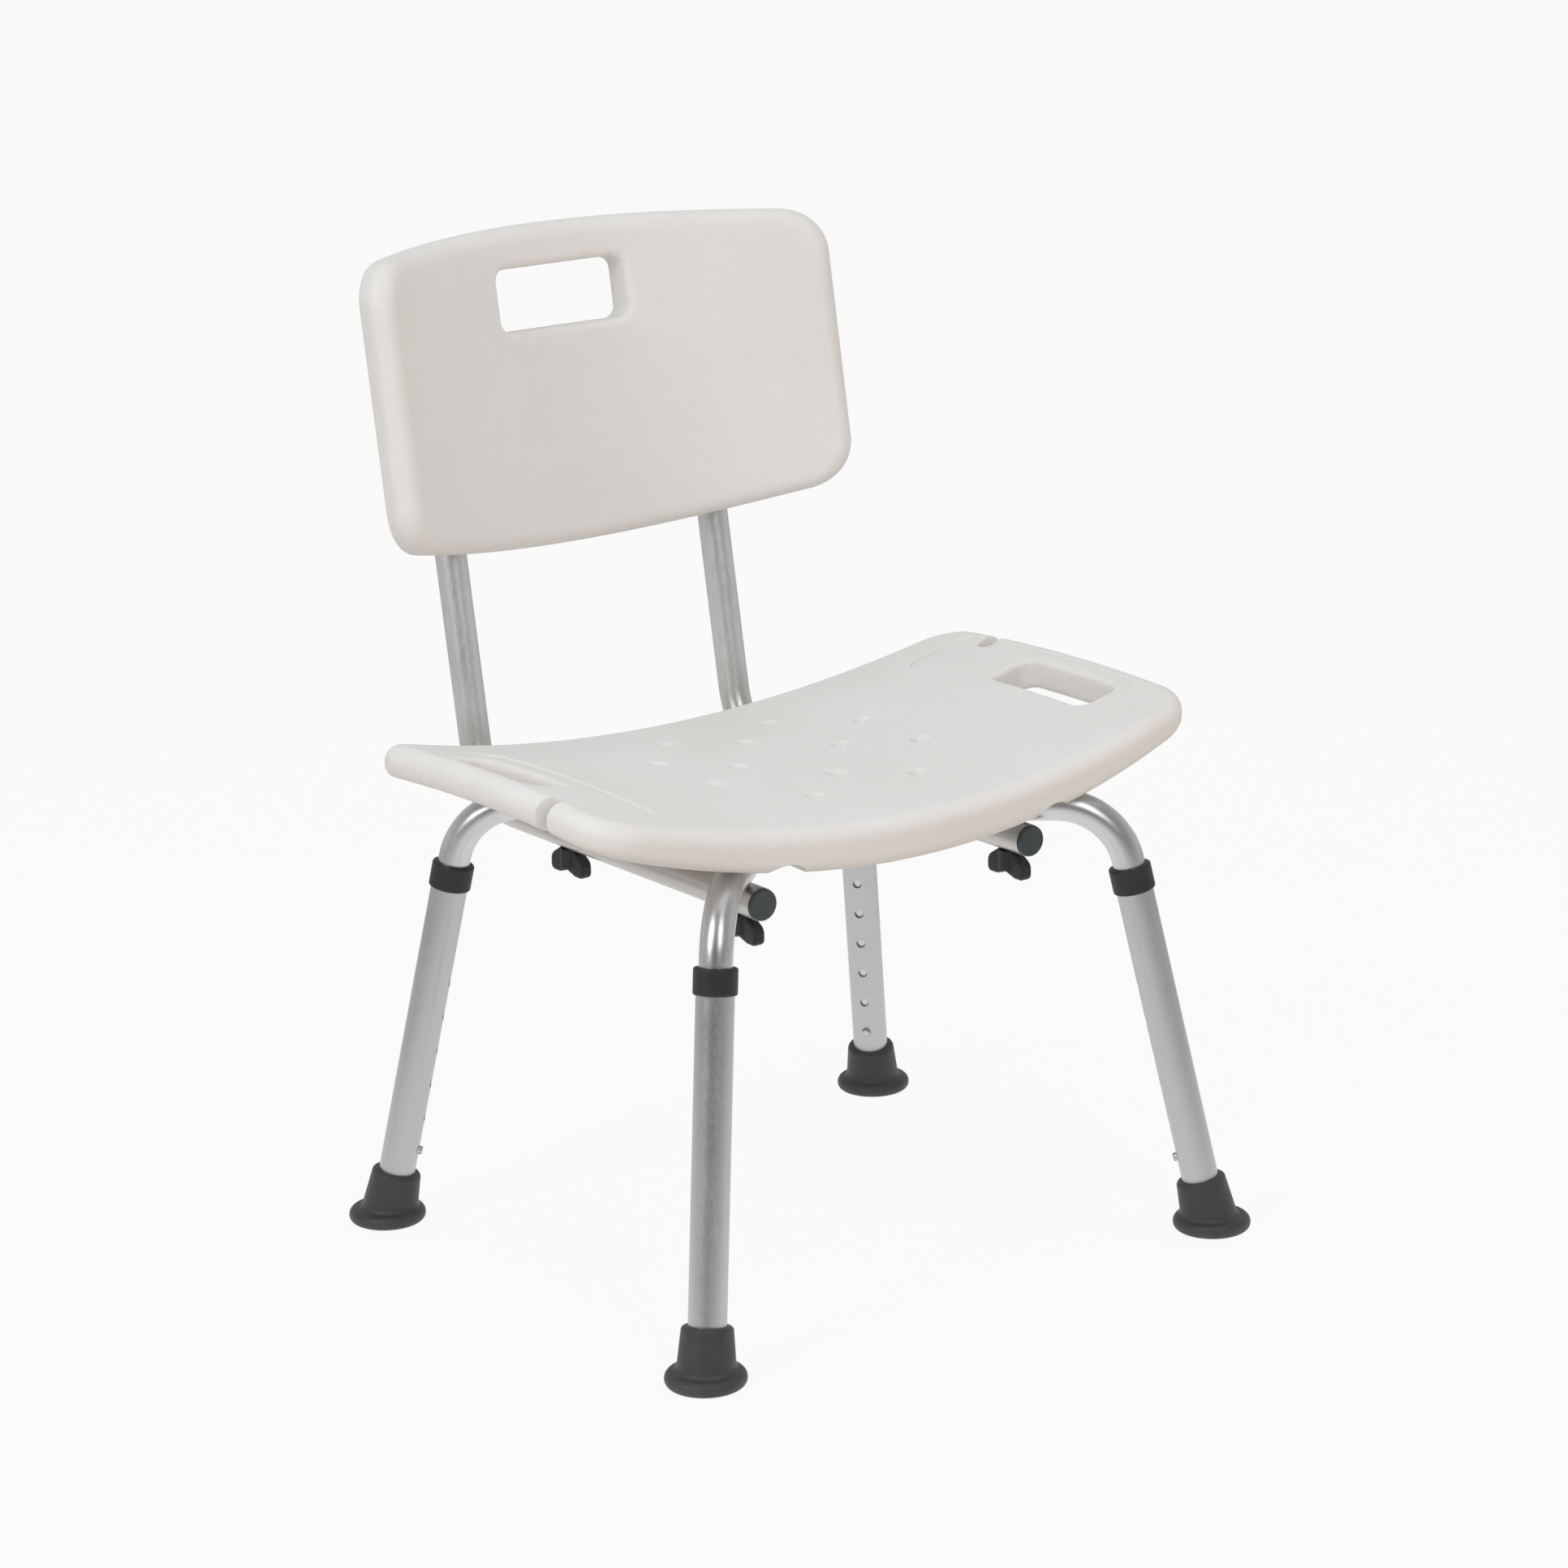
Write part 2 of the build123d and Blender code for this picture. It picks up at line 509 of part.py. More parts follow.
seat_bottom_z = SEAT_TOP_Z - SEAT_THICKNESS
end_rise = SEAT_DISH_RADIUS - sqrt(SEAT_DISH_RADIUS ** 2 - seat_half_width ** 2)
under_rise = end_rise + SEAT_THICKNESS - SEAT_END_THICKNESS
under_radius = (seat_half_width ** 2 + under_rise ** 2) / (2 * under_rise)
below_top = swung_solid(SEAT_TOP_Z, SEAT_DISH_RADIUS, SEAT_TOP_Z - SEAT_DEPTH)
above_bottom = swung_solid(seat_bottom_z, under_radius, seat_bottom_z + SEAT_DEPTH)
dished = below_top & above_bottom

end_half_depth = seat_half_depth - SEAT_BOW
front_y = SEAT_CENTRE_Y - seat_half_depth
rear_y = SEAT_CENTRE_Y + seat_half_depth
end_front_y = SEAT_CENTRE_Y - end_half_depth
end_rear_y = SEAT_CENTRE_Y + end_half_depth
seat_outline = make_face(
    [
        ThreePointArc((-seat_half_width, end_front_y), (0, front_y), (seat_half_width, end_front_y)),
        Line((seat_half_width, end_front_y), (seat_half_width, end_rear_y)),
        ThreePointArc((seat_half_width, end_rear_y), (0, rear_y), (-seat_half_width, end_rear_y)),
        Line((-seat_half_width, end_rear_y), (-seat_half_width, end_front_y)),
    ]
)
seat_outline = fillet(seat_outline.vertices(), SEAT_CORNER)
seat = dished & Pos(0, 0, BACK_TUBE_Z) * extrude(seat_outline, SEAT_WIDTH)
top_face = seat.faces().sort_by(SortBy.AREA)[-2:].sort_by(Axis.Z)[-1]
seat = fillet(top_face.edges(), SEAT_TOP_EDGE)
bottom_face = seat.faces().sort_by(SortBy.AREA)[-2:].sort_by(Axis.Z)[0]
seat = fillet(bottom_face.edges(), SEAT_BOTTOM_EDGE)

# Grip recess, grip slot and hook notch, the same at both ends after half a turn of the seat

recess_z = SEAT_TOP_Z - GRIP_RECESS_DEPTH
above_recess = swung_solid(recess_z, SEAT_DISH_RADIUS + GRIP_RECESS_DEPTH, SEAT_TOP_Z + SEAT_THICKNESS)
recess_outline = RectangleRounded(GRIP_RECESS_WIDTH, GRIP_RECESS_LENGTH, GRIP_RECESS_CORNER)
slot_outline = RectangleRounded(GRIP_SLOT_WIDTH, GRIP_SLOT_LENGTH, GRIP_SLOT_CORNER)
notch_mouth = Box(HOOK_NOTCH_DEPTH, HOOK_NOTCH_WIDTH, SEAT_WIDTH)
recess_x = seat_half_width - GRIP_RECESS_INSET - GRIP_RECESS_WIDTH / 2
slot_x = seat_half_width - GRIP_SLOT_INSET - GRIP_SLOT_WIDTH / 2
for turn in (1, -1):
    recess_spot = Pos(turn * recess_x, SEAT_CENTRE_Y + turn * GRIP_RECESS_OFFSET, BACK_TUBE_Z)
    recess = above_recess & recess_spot * extrude(recess_outline, SEAT_WIDTH)
    recessed = seat - recess
    seat = fillet(new_edges(seat, recess, combined=recessed), GRIP_RECESS_EDGE)
    slot_y = SEAT_CENTRE_Y - turn * GRIP_SLOT_OFFSET
    seat -= Pos(turn * slot_x, slot_y, BACK_TUBE_Z) * extrude(slot_outline, SEAT_WIDTH)
    slot_reach = (GRIP_SLOT_WIDTH / 2 + 1, GRIP_SLOT_LENGTH / 2 + 1, SEAT_WIDTH)
    slot_edges = edges_near(seat, (turn * slot_x, slot_y, SEAT_TOP_Z), slot_reach)
    slot_edges = slot_edges.filter_by(lambda edge: abs((edge @ 0).Z - (edge @ 1).Z) < SEAT_THICKNESS / 2)
    seat = fillet(slot_edges, GRIP_SLOT_EDGE)
    notch_y = SEAT_CENTRE_Y + turn * HOOK_NOTCH_OFFSET
    notch_round = turn * (seat_half_width - HOOK_NOTCH_DEPTH + HOOK_NOTCH_WIDTH / 2)
    notch = Pos(notch_round, notch_y, SEAT_TOP_Z) * Cylinder(HOOK_NOTCH_WIDTH / 2, SEAT_WIDTH)
    notch += Pos(notch_round + turn * HOOK_NOTCH_DEPTH / 2, notch_y, SEAT_TOP_Z) * notch_mouth
    seat -= notch

# Drain holes, in columns of two and three, each at the bottom of a round-edged funnel and
# with a tapered well below, where the underside is drawn up to the top wall

drain_columns = [
    (-2 * DRAIN_COLUMN_PITCH, (-DRAIN_OUTER_COLUMN, DRAIN_OUTER_COLUMN)),
    (-DRAIN_COLUMN_PITCH, (-DRAIN_LONG_COLUMN, 0, DRAIN_LONG_COLUMN)),
    (0, (-DRAIN_MIDDLE_COLUMN, DRAIN_MIDDLE_COLUMN)),
    (DRAIN_COLUMN_PITCH, (-DRAIN_LONG_COLUMN, 0, DRAIN_LONG_COLUMN)),
    (2 * DRAIN_COLUMN_PITCH, (-DRAIN_OUTER_COLUMN, DRAIN_OUTER_COLUMN)),
]
drain_r = DRAIN_DIAMETER / 2
funnel_depth = (DRAIN_SINK_DIAMETER - DRAIN_DIAMETER) / 2
funnel = Cone(drain_r, drain_r + 2 * funnel_depth, 2 * funnel_depth)
well_depth = SEAT_THICKNESS - DRAIN_WALL
well = Cone(DRAIN_WELL_MOUTH / 2, DRAIN_WELL_TOP / 2, well_depth)
drains = []
wells = []
for x, column in drain_columns:
    for offset_y in column:
        y = SEAT_CENTRE_Y + offset_y
        z = seat_top_z(x, y)
        drain = upright_cylinder(drain_r, BACK_TUBE_Z, z, x, y)
        drains.append(drain + Pos(x, y, z) * funnel)
        wells.append(Pos(x, y, z - DRAIN_WALL - well_depth / 2) * well)
drained = seat - drains
rims = new_edges(seat, *drains, combined=drained)
rims = rims.filter_by(lambda edge: edge.center().Z > SEAT_TOP_Z - funnel_depth / 2)
seat = fillet(rims, DRAIN_RIM) - wells

# Channels, bolt pocket and insert holes in the underside

tube_top = CROSS_TUBE_Z + FRAME_R
insert_bottom = tube_top + INSERT_LIFT
insert_top = insert_bottom + INSERT_LENGTH
channel_z = tube_top + SEAT_CHANNEL_ABOVE_TUBE - SEAT_CHANNEL_RADIUS
groove = Rot(0, 90, 0) * Cylinder(FRAME_R + SEAT_TUBE_CLEARANCE, LONG)
channel = Rot(90, 0, 0) * Cylinder(SEAT_CHANNEL_RADIUS, LONG)
insert_hole = upright_cylinder(INSERT_DIAMETER / 2 + INSERT_FIT, BACK_TUBE_Z, insert_top + INSERT_FIT)
pocket_r = BOLT_HEAD_DIAMETER / 2 + BOLT_POCKET_CLEARANCE
pocket_top = bolt_seat + BOLT_HEAD_HEIGHT + BOLT_POCKET_CLEARANCE
seat -= [Pos(signs[0] * WING_X, signs[1] * WING_Y, 0) * insert_hole for signs in LEG_SIGNS.values()]
seat -= upright_cylinder(pocket_r, BACK_TUBE_Z, pocket_top)
seat -= [Pos(side * BACK_TUBE_X, 0, channel_z) * channel for side in SIDES.values()]
seat -= [Pos(0, 0, CROSS_TUBE_Z) * Rot(0, 0, sign * DIAGONAL_ANGLE) * groove for sign in (1, -1)]
parts["seat_panel"] = seat

# Wing screws: a moulded wing on a steel stud, and the brass insert in the seat

wing_top = BACK_TUBE_Z - FRAME_R + PRESSED_FLAT - WING_RUNNING_GAP
half_span = WING_SPAN / 2
hub_r = WING_HUB_DIAMETER / 2
lobe = half_span / 2
wing_outline = make_face(
    Polyline(
        (-hub_r, 0),
        (hub_r, 0),
        (half_span, -WING_TIP_DROP),
        (half_span, -WING_HEIGHT),
        (lobe, -WING_HEIGHT),
        (0, WING_ARCH - WING_HEIGHT),
        (-lobe, -WING_HEIGHT),
        (-half_span, -WING_HEIGHT),
        (-half_span, -WING_TIP_DROP),
        close=True,
    )
)
wing_levels = wing_outline.vertices().group_by(Axis.Y)
wing_outline = fillet(wing_levels[0] + wing_levels[1], WING_CORNER)
wing_outline = fillet(wing_outline.vertices().group_by(Axis.Y)[-2], WING_SHOULDER)
wing = extrude(Plane.YZ * wing_outline, WING_THICKNESS / 2, both=True)
wing_sides = wing.faces().filter_by(Axis.X)
wing = fillet(wing_sides.edges(), WING_EDGE)
wing += upright_cylinder(hub_r, -WING_HUB_HEIGHT, 0)
stud_r = STUD_DIAMETER / 2
knob = Pos(0, 0, wing_top) * wing
knob -= upright_cylinder(stud_r + INSERT_FIT, wing_top - STUD_IN_KNOB, wing_top + 1)
stud = upright_cylinder(stud_r, wing_top - STUD_IN_KNOB, insert_bottom + STUD_ENGAGEMENT)
seat_insert = upright_cylinder(INSERT_DIAMETER / 2, insert_bottom, insert_top)
seat_insert -= upright_cylinder(stud_r + STUD_THREAD_CLEARANCE, insert_bottom - 1, insert_top - 1)
for name, signs in LEG_SIGNS.items():
    place = Pos(signs[0] * WING_X, signs[1] * WING_Y, 0)
    parts["wing_knob_" + name] = place * knob
    parts["wing_stud_" + name] = place * stud
    parts["seat_insert_" + name] = place * seat_insert

# Bring the origin to the middle of the whole chair's box and write every piece

rear_edge = max(shape.bounding_box().max.Y for shape in parts.values())
front_edge = min(shape.bounding_box().min.Y for shape in parts.values())
to_origin = Pos(0, -(front_edge + rear_edge) / 2, 0)
os.makedirs("parts", exist_ok=True)
for name, shape in parts.items():
    export_step(to_origin * shape, "parts/" + name + ".step")
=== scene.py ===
"""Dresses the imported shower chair: moulded panels, anodised tubes, rubber tips and a plain studio."""

import json
import math

import bpy
from bpy.props import FloatProperty, FloatVectorProperty, PointerProperty
from mathutils import Matrix, Vector


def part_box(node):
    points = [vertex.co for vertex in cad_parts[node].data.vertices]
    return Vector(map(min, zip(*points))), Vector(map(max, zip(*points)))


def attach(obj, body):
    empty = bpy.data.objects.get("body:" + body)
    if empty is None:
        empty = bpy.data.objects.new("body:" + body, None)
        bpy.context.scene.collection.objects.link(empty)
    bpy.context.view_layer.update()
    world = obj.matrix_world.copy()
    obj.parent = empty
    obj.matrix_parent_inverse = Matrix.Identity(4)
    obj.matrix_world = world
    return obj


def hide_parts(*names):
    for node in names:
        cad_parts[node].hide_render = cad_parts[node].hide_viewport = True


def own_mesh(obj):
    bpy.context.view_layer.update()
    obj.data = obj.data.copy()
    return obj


bl_info = {
    "name": "Shower chair dresser",
    "version": (1, 0, 0),
    "blender": (4, 5, 0),
    "location": "View3D > Sidebar > Chair",
    "description": "Finishes the packed shower chair and sets up its studio",
    "category": "Object",
}

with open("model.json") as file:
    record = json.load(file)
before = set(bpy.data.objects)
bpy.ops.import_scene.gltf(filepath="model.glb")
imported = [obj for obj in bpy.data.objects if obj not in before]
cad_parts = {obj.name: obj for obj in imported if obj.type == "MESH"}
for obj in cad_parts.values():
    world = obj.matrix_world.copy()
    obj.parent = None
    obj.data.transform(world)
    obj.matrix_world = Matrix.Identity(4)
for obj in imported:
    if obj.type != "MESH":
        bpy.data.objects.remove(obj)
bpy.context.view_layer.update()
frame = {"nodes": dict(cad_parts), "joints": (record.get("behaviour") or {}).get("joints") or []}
NODES = frame["nodes"]
CORNERS = ("front_left", "front_right", "rear_left", "rear_right")
SIDES = ("left", "right")
UP = Vector((0, 0, 1))

# The back tubes lean back above the seat, and the backrest screws go in square to them.
BACK_LEAN = (0, 0.17, 0.985)
SCREW_OUTWARD = Vector((0, 0.98600, -0.16677))
HALFWAY_UP_SCREWS = 0.525

MERGE_DISTANCE = 1e-6
FLAT_TOLERANCE = 2e-6
SMOOTH_ANGLE = math.radians(30)

# Tubes are drawn lengthwise, so their streaks are squeezed across and long along the tube.
STREAK_STRETCH = 0.012
STREAK_WIDTH = 0.0009
GRAINS_PER_PATCH = 12
GRAINS_PER_SPECK = 6

THREAD_SIDES = 4
THREAD_STEPS = 40
THREAD_THICKNESS = 0.36

FLOOR_SIZE = 30
FLOOR_ROUGHNESS = 0.9
LAMP_AIM = Vector((0, 0, 0.35))
SENSOR_WIDTH = 36
BRIGHTEST_AHEAD = -0.25


def colour(name, description, value):
    limits = {"size": 3, "min": 0, "max": 1}
    return FloatVectorProperty(name=name, description=description, subtype="COLOR", default=value, **limits)


def length(name, description, value):
    limits = {"precision": 5, "min": 0}
    return FloatProperty(name=name, description=description, unit="LENGTH", default=value, **limits)


def share(name, description, value):
    return FloatProperty(name=name, description=description, subtype="FACTOR", min=0, max=1, default=value)


def angle(name, description, degrees):
    return FloatProperty(name=name, description=description, unit="ROTATION", default=math.radians(degrees))


def point(name, description, value):
    return FloatVectorProperty(name=name, description=description, unit="LENGTH", size=3, default=value)


class ChairColours(bpy.types.PropertyGroup):
    """Colours of the chair's materials."""

    panel: colour("Panel white", "Moulded seat and backrest", (0.79, 0.785, 0.775))
    panel_shade: colour("Panel mottling", "Slightly darker patches of the panels", (0.74, 0.73, 0.71))
    frame_tube: colour("Frame tube", "Bright anodised cross tubes", (0.68, 0.68, 0.685))
    back_tube: colour("Back tube", "Anodised back tubes", (0.85, 0.855, 0.845))
    # Back tube shade colour: painted shade under the seat, a darker tone that stands for the shade there, not
    # a film on the tubes.
    back_tube_painted_shade: colour("Back tube film", "Dull film on them under the seat", (0.58, 0.56, 0.535))
    leg_tube: colour("Leg tube", "Satin anodised lower legs", (0.58, 0.58, 0.585))
    black_plastic: colour("Black plastic", "Collars and wing screws", (0.0125, 0.0125, 0.0132))
    plug_plastic: colour("Plug plastic", "Plugs in the ends of the back tubes", (0.037, 0.046, 0.050))
    rubber: colour("Tip rubber", "Foot tips", (0.036, 0.0390, 0.0410))
    rubber_dust: colour("Rubber scuffs", "Pale scuffs low on the foot tips", (0.105, 0.108, 0.108))
    steel: colour("Plated steel", "Bolt, nut, studs, screws, washers and snap clips", (0.60, 0.60, 0.61))
    brass: colour("Insert brass", "Threaded inserts", (0.72, 0.53, 0.25))


class ChairFinishes(bpy.types.PropertyGroup):
    """How smooth and how grainy the surfaces are, and the sizes of the small pieces added here."""

    panel_cloud: length("Panel cloud", "Size of the faint patches on the moulded panels", 0.16)
    panel_grain: length("Panel grain", "Size of the moulded grain", 0.0011)
    panel_roughness: share("Panel roughness", "Satin of the moulded panels", 0.44)
    panel_depth: length("Panel depth", "How far light goes into the white plastic", 0.010)
    tube_patch: length("Tube patch", "Size of the hazy patches on the bright tubes", 0.03)
    tube_roughness: share("Frame tube roughness", "Gloss of the bright tubes", 0.28)
    leg_roughness: share("Leg tube roughness", "Gloss of the satin tubes", 0.31)
    # The next two set how far up the painted shade on the back tubes reaches and how it fades out; no drips
    # dull the tubes.
    painted_shade_height: length("Painted shade height", "How far up the back tubes are darkened by painted shade", 0.30)
    painted_shade_fade: length("Painted shade fade", "Height over which the film on the back tubes fades out", 0.05)
    fitting_roughness: share("Fitting roughness", "Satin of the collars and wing screws", 0.42)
    plug_roughness: share("Plug roughness", "Satin of the plugs", 0.46)
    rubber_roughness: share("Rubber roughness", "Dullness of the foot tips", 0.40)
    scuff_height: length("Scuff height", "How far up the foot tips are scuffed", 0.009)
    plating_patch: length("Plating patch", "Size of the hazy patches on small metal parts", 0.006)
    plating_roughness: share("Plating roughness", "Gloss of the small metal parts", 0.26)
    drive_width: length("Drive width", "Across the cross recess of a backrest screw", 0.0052)
    drive_wing: length("Drive wing", "Thickness of one wing of the cross recess", 0.0011)
    drive_depth: length("Drive depth", "Depth of the cross recess", 0.0019)
    drive_taper: share("Drive taper", "Width of the cross recess at its bottom", 0.55)
    bolt_radius: length("Bolt radius", "Radius of the bolt where the cross tubes meet", 0.003)
    thread_pitch: length("Thread pitch", "Pitch of the bolt's thread", 0.001)


class ChairStudio(bpy.types.PropertyGroup):
    """Camera, floor and surrounding light."""

    azimuth: angle("Azimuth", "Camera angle round the chair", -36.537)
    elevation: angle("Elevation", "Camera angle above the horizon", 15.631)
    roll: angle("Roll", "Camera roll", -1.178)
    distance: length("Distance", "From the camera to the aim point", 3.1484)
    lens: FloatProperty(name="Lens", description="Focal length in millimetres", default=105.88)
    aim: point("Aim", "Point the camera looks at", (-0.0021, -0.0353, 0.3197))
    sky: FloatProperty(name="Sky", description="Strength of the surrounding light", default=0.60)
    dark_side: share("Dark side", "How much darker the room is behind the camera than beside it", 0.75)
    dark_top: share("Dark top", "How much darker reflections of the room get towards the ceiling", 0.6)
    floor: colour("Floor", "Colour of the light that the floor throws up", (0.66, 0.60, 0.54))
    floor_glow: share("Floor glow", "How far the floor shows as plain white", 0.92)
    pool: length("Floor pool", "How far round the chair the floor is brightly lit in reflections", 0.5)
    pool_edge: length("Pool edge", "Where the floor is at its darkest in reflections", 1.8)
    far_floor: share("Far floor", "Brightness of the distant floor in reflections", 0.45)


def groups():
    scene = bpy.context.scene
    return scene.chair_colours, scene.chair_finishes, scene.chair_studio


class Wire:
    """A shader value that takes part in Python expressions."""

    def __init__(self, sheet, socket):
        self.sheet = sheet
        self.socket = socket

    def maths(self, operation, first, second):
        return self.sheet.node("ShaderNodeMath", {"operation": operation}, {0: first, 1: second})

    def at_least(self, lowest):
        return self.maths("MAXIMUM", self, lowest)

    def __add__(self, other):
        return self.maths("ADD", self, other)

    def __sub__(self, other):
        return self.maths("SUBTRACT", self, other)

    def __rsub__(self, other):
        return self.maths("SUBTRACT", other, self)

    def __mul__(self, other):
        return self.maths("MULTIPLY", self, other)

    __radd__ = __add__
    __rmul__ = __mul__


class Sheet:
    """A node tree under construction."""

    def __init__(self, tree):
        self.tree = tree

    def node(self, kind, settings, sockets, output=0):
        made = self.tree.nodes.new(kind)
        for key, value in settings.items():
            setattr(made, key, value)
        for key, value in sockets.items():
            self.feed(made.inputs[key], value)
        return Wire(self, made.outputs[output])

    def feed(self, socket, value):
        if isinstance(value, Wire):
            self.tree.links.new(value.socket, socket)
        elif socket.type == "RGBA":
            socket.default_value = (*value, 1)
        else:
            socket.default_value = value

    def ramp(self, value, start, end, highest=1.0):
        """Rise from 0 at start to highest at end."""
        limits = {"From Min": start, "From Max": end, "To Max": highest}
        return self.node("ShaderNodeMapRange", {}, {"Value": value, **limits})


class Finish(Sheet):
    """One material under construction."""

    def __init__(self, name, metallic=0.0):
        self.material = bpy.data.materials.new(name)
        self.material.use_nodes = True
        super().__init__(self.material.node_tree)
        self.shader = self.tree.nodes["Principled BSDF"]
        self.shader.inputs["Metallic"].default_value = metallic

    def spot(self):
        return self.node("ShaderNodeTexCoord", {}, {}, "Object")

    def place(self, turn=(0, 0, 0), stretch=(1, 1, 1)):
        return self.node("ShaderNodeMapping", {}, {"Vector": self.spot(), "Rotation": turn, "Scale": stretch})

    def noise(self, place, size, detail, lowest=0.3, highest=0.7):
        rough = self.node("ShaderNodeTexNoise", {}, {"Vector": place, "Scale": 1 / size, "Detail": detail})
        return self.ramp(rough, lowest, highest)

    def mix(self, factor, first, second):
        made = self.tree.nodes.new("ShaderNodeMix")
        made.data_type = "RGBA"
        for socket, value in ((made.inputs[0], factor), (made.inputs[6], first), (made.inputs[7], second)):
            self.feed(socket, value)
        return Wire(self, made.outputs[2])

    def height(self):
        return self.node("ShaderNodeSeparateXYZ", {}, {"Vector": self.spot()}, "Z")

    def done(self, base, roughness, relief=None, depth=0.0, strength=0.0):
        self.feed(self.shader.inputs["Base Color"], base)
        self.feed(self.shader.inputs["Roughness"], roughness)
        if relief is not None:
            sockets = {"Height": relief, "Distance": depth, "Strength": strength}
            bump = self.node("ShaderNodeBump", {}, sockets)
            self.feed(self.shader.inputs["Normal"], bump)
        return self.material


def darker(tint, level):
    return tuple(channel * level for channel in tint)


def pick(piece):
    bpy.ops.object.select_all(action="DESELECT")
    piece.select_set(True)
    bpy.context.view_layer.objects.active = piece


def merged_copy(node, name):
    """Copy a solid's mesh into a new piece and join its loose triangles."""
    piece = bpy.data.objects.new(name, NODES[node].data.copy())
    bpy.context.scene.collection.objects.link(piece)
    pick(piece)
    bpy.ops.object.mode_set(mode="EDIT")
    bpy.ops.mesh.select_all(action="SELECT")
    bpy.ops.mesh.remove_doubles(threshold=MERGE_DISTANCE)
    bpy.ops.object.mode_set(mode="OBJECT")
    return piece


def wear(names, material):
    for name in names:
        slots = NODES[name].data.materials
        slots.clear()
        slots.append(material)


def at_corners(start):
    return [start + corner for corner in CORNERS]


def corner_joints(start, end):
    """Yield the corner and the joint for each joint whose name has this start and end."""
    for joint in frame["joints"]:
        corner = joint["name"].removeprefix(start).removesuffix(end)
        if corner in CORNERS:
            yield corner, joint


def moulded_panel(name):
    """White blow-moulded plastic: faint patches, a fine grain and a little light through its surface."""
    colours, finishes, _ = groups()
    finish = Finish(name)
    flat = finish.place()
    cloud = finish.noise(flat, finishes.panel_cloud, detail=3.0)
    speck = finish.noise(flat, finishes.panel_grain * GRAINS_PER_SPECK, detail=2.0)
    grain = finish.noise(flat, finishes.panel_grain, detail=1.0)
    tone = finish.mix(cloud * 0.8 + speck * 0.2, colours.panel_shade, colours.panel)
    gloss = finishes.panel_roughness + cloud * 0.07 + grain * 0.06
    finish.shader.inputs["Subsurface Weight"].default_value = 0.35
    finish.shader.inputs["Subsurface Radius"].default_value = (1.0, 0.95, 0.85)
    finish.shader.inputs["Subsurface Scale"].default_value = finishes.panel_depth
    return finish.done(tone, gloss, grain * 0.7 + speck * 0.3, depth=0.00035, strength=0.18)


def anodised_tube(name, tint, along, painted_shade=None):
    """Satin aluminium with fine streaks along the tube, and painted shade low down where a shade colour is
    given.
    """
    _, finishes, _ = groups()
    finish = Finish(name, metallic=1.0)
    turn = Vector(along).rotation_difference(UP).to_euler()
    drawn = finish.place(turn, (1, 1, STREAK_STRETCH))
    streak = finish.noise(drawn, STREAK_WIDTH, detail=3.0)
    cloud = finish.noise(finish.place(), 0.05, detail=3.0)
    tone = finish.mix(streak * 0.6 + cloud * 0.4, darker(tint, 0.88), tint)
    # Painted shade: below the seat the back tubes take a darker tone for the shade there, fading out upwards.
    if painted_shade:
        fade_end = finishes.painted_shade_height + finishes.painted_shade_fade
        unshaded = finish.ramp(finish.height(), finishes.painted_shade_height, fade_end)
        tone = finish.mix(unshaded * 0.8 + unshaded * cloud * 0.2, painted_shade, tone)
    gloss = finishes.leg_roughness + streak * 0.10 + cloud * 0.05
    return finish.done(tone, gloss, streak, depth=0.0001, strength=0.10)


def bright_metal(name, tint, roughness, patch):
    """Bright metal with hazy patches of the given size and a fine grain in them."""
    finish = Finish(name, metallic=1.0)
    haze = finish.noise(finish.place(), patch, detail=4.0)
    grain = finish.noise(finish.place(), patch / GRAINS_PER_PATCH, detail=2.0)
    tone = finish.mix(haze * 0.7 + grain * 0.3, darker(tint, 0.90), tint)
    gloss = roughness + haze * 0.06 + grain * 0.03
    return finish.done(tone, gloss, grain, depth=0.00004, strength=0.04)


def moulded_black(name, tint, roughness):
    """Dark moulded plastic, slightly paler in patches."""
    finish = Finish(name)
    grain = finish.noise(finish.place(), 0.0008, detail=2.0)
    cloud = finish.noise(finish.place(), 0.012, detail=3.0)
    paler = tuple(channel * 1.6 + 0.004 for channel in tint)
    tone = finish.mix(cloud * 0.7 + grain * 0.3, tint, paler)
    gloss = roughness + grain * 0.10 + cloud * 0.08
    return finish.done(tone, gloss, grain, depth=0.0002, strength=0.25)


def tip_rubber(name):
    """Dark rubber with pale scuffs near the floor."""
    colours, finishes, _ = groups()
    finish = Finish(name)
    grain = finish.noise(finish.place(), 0.0012, detail=3.0)
    cloud = finish.noise(finish.place(), 0.018, detail=4.0)
    low = finish.ramp(finish.height(), finishes.scuff_height, 0.0)
    tone = finish.mix(low * cloud * 0.7 + cloud * 0.10, colours.rubber, colours.rubber_dust)
    gloss = finishes.rubber_roughness + cloud * 0.12 + grain * 0.08
    return finish.done(tone, gloss, grain, depth=0.0003, strength=0.2)


class CHAIR_OT_panels(bpy.types.Operator):
    """Give the seat and the backrest their moulded white plastic"""

    bl_idname = "chair.panels"
    bl_label = "Seat and backrest"

    def execute(self, context):
        wear(["seat_panel"], moulded_panel("seat_white"))
        wear(["backrest_panel"], moulded_panel("backrest_white"))
        return {"FINISHED"}


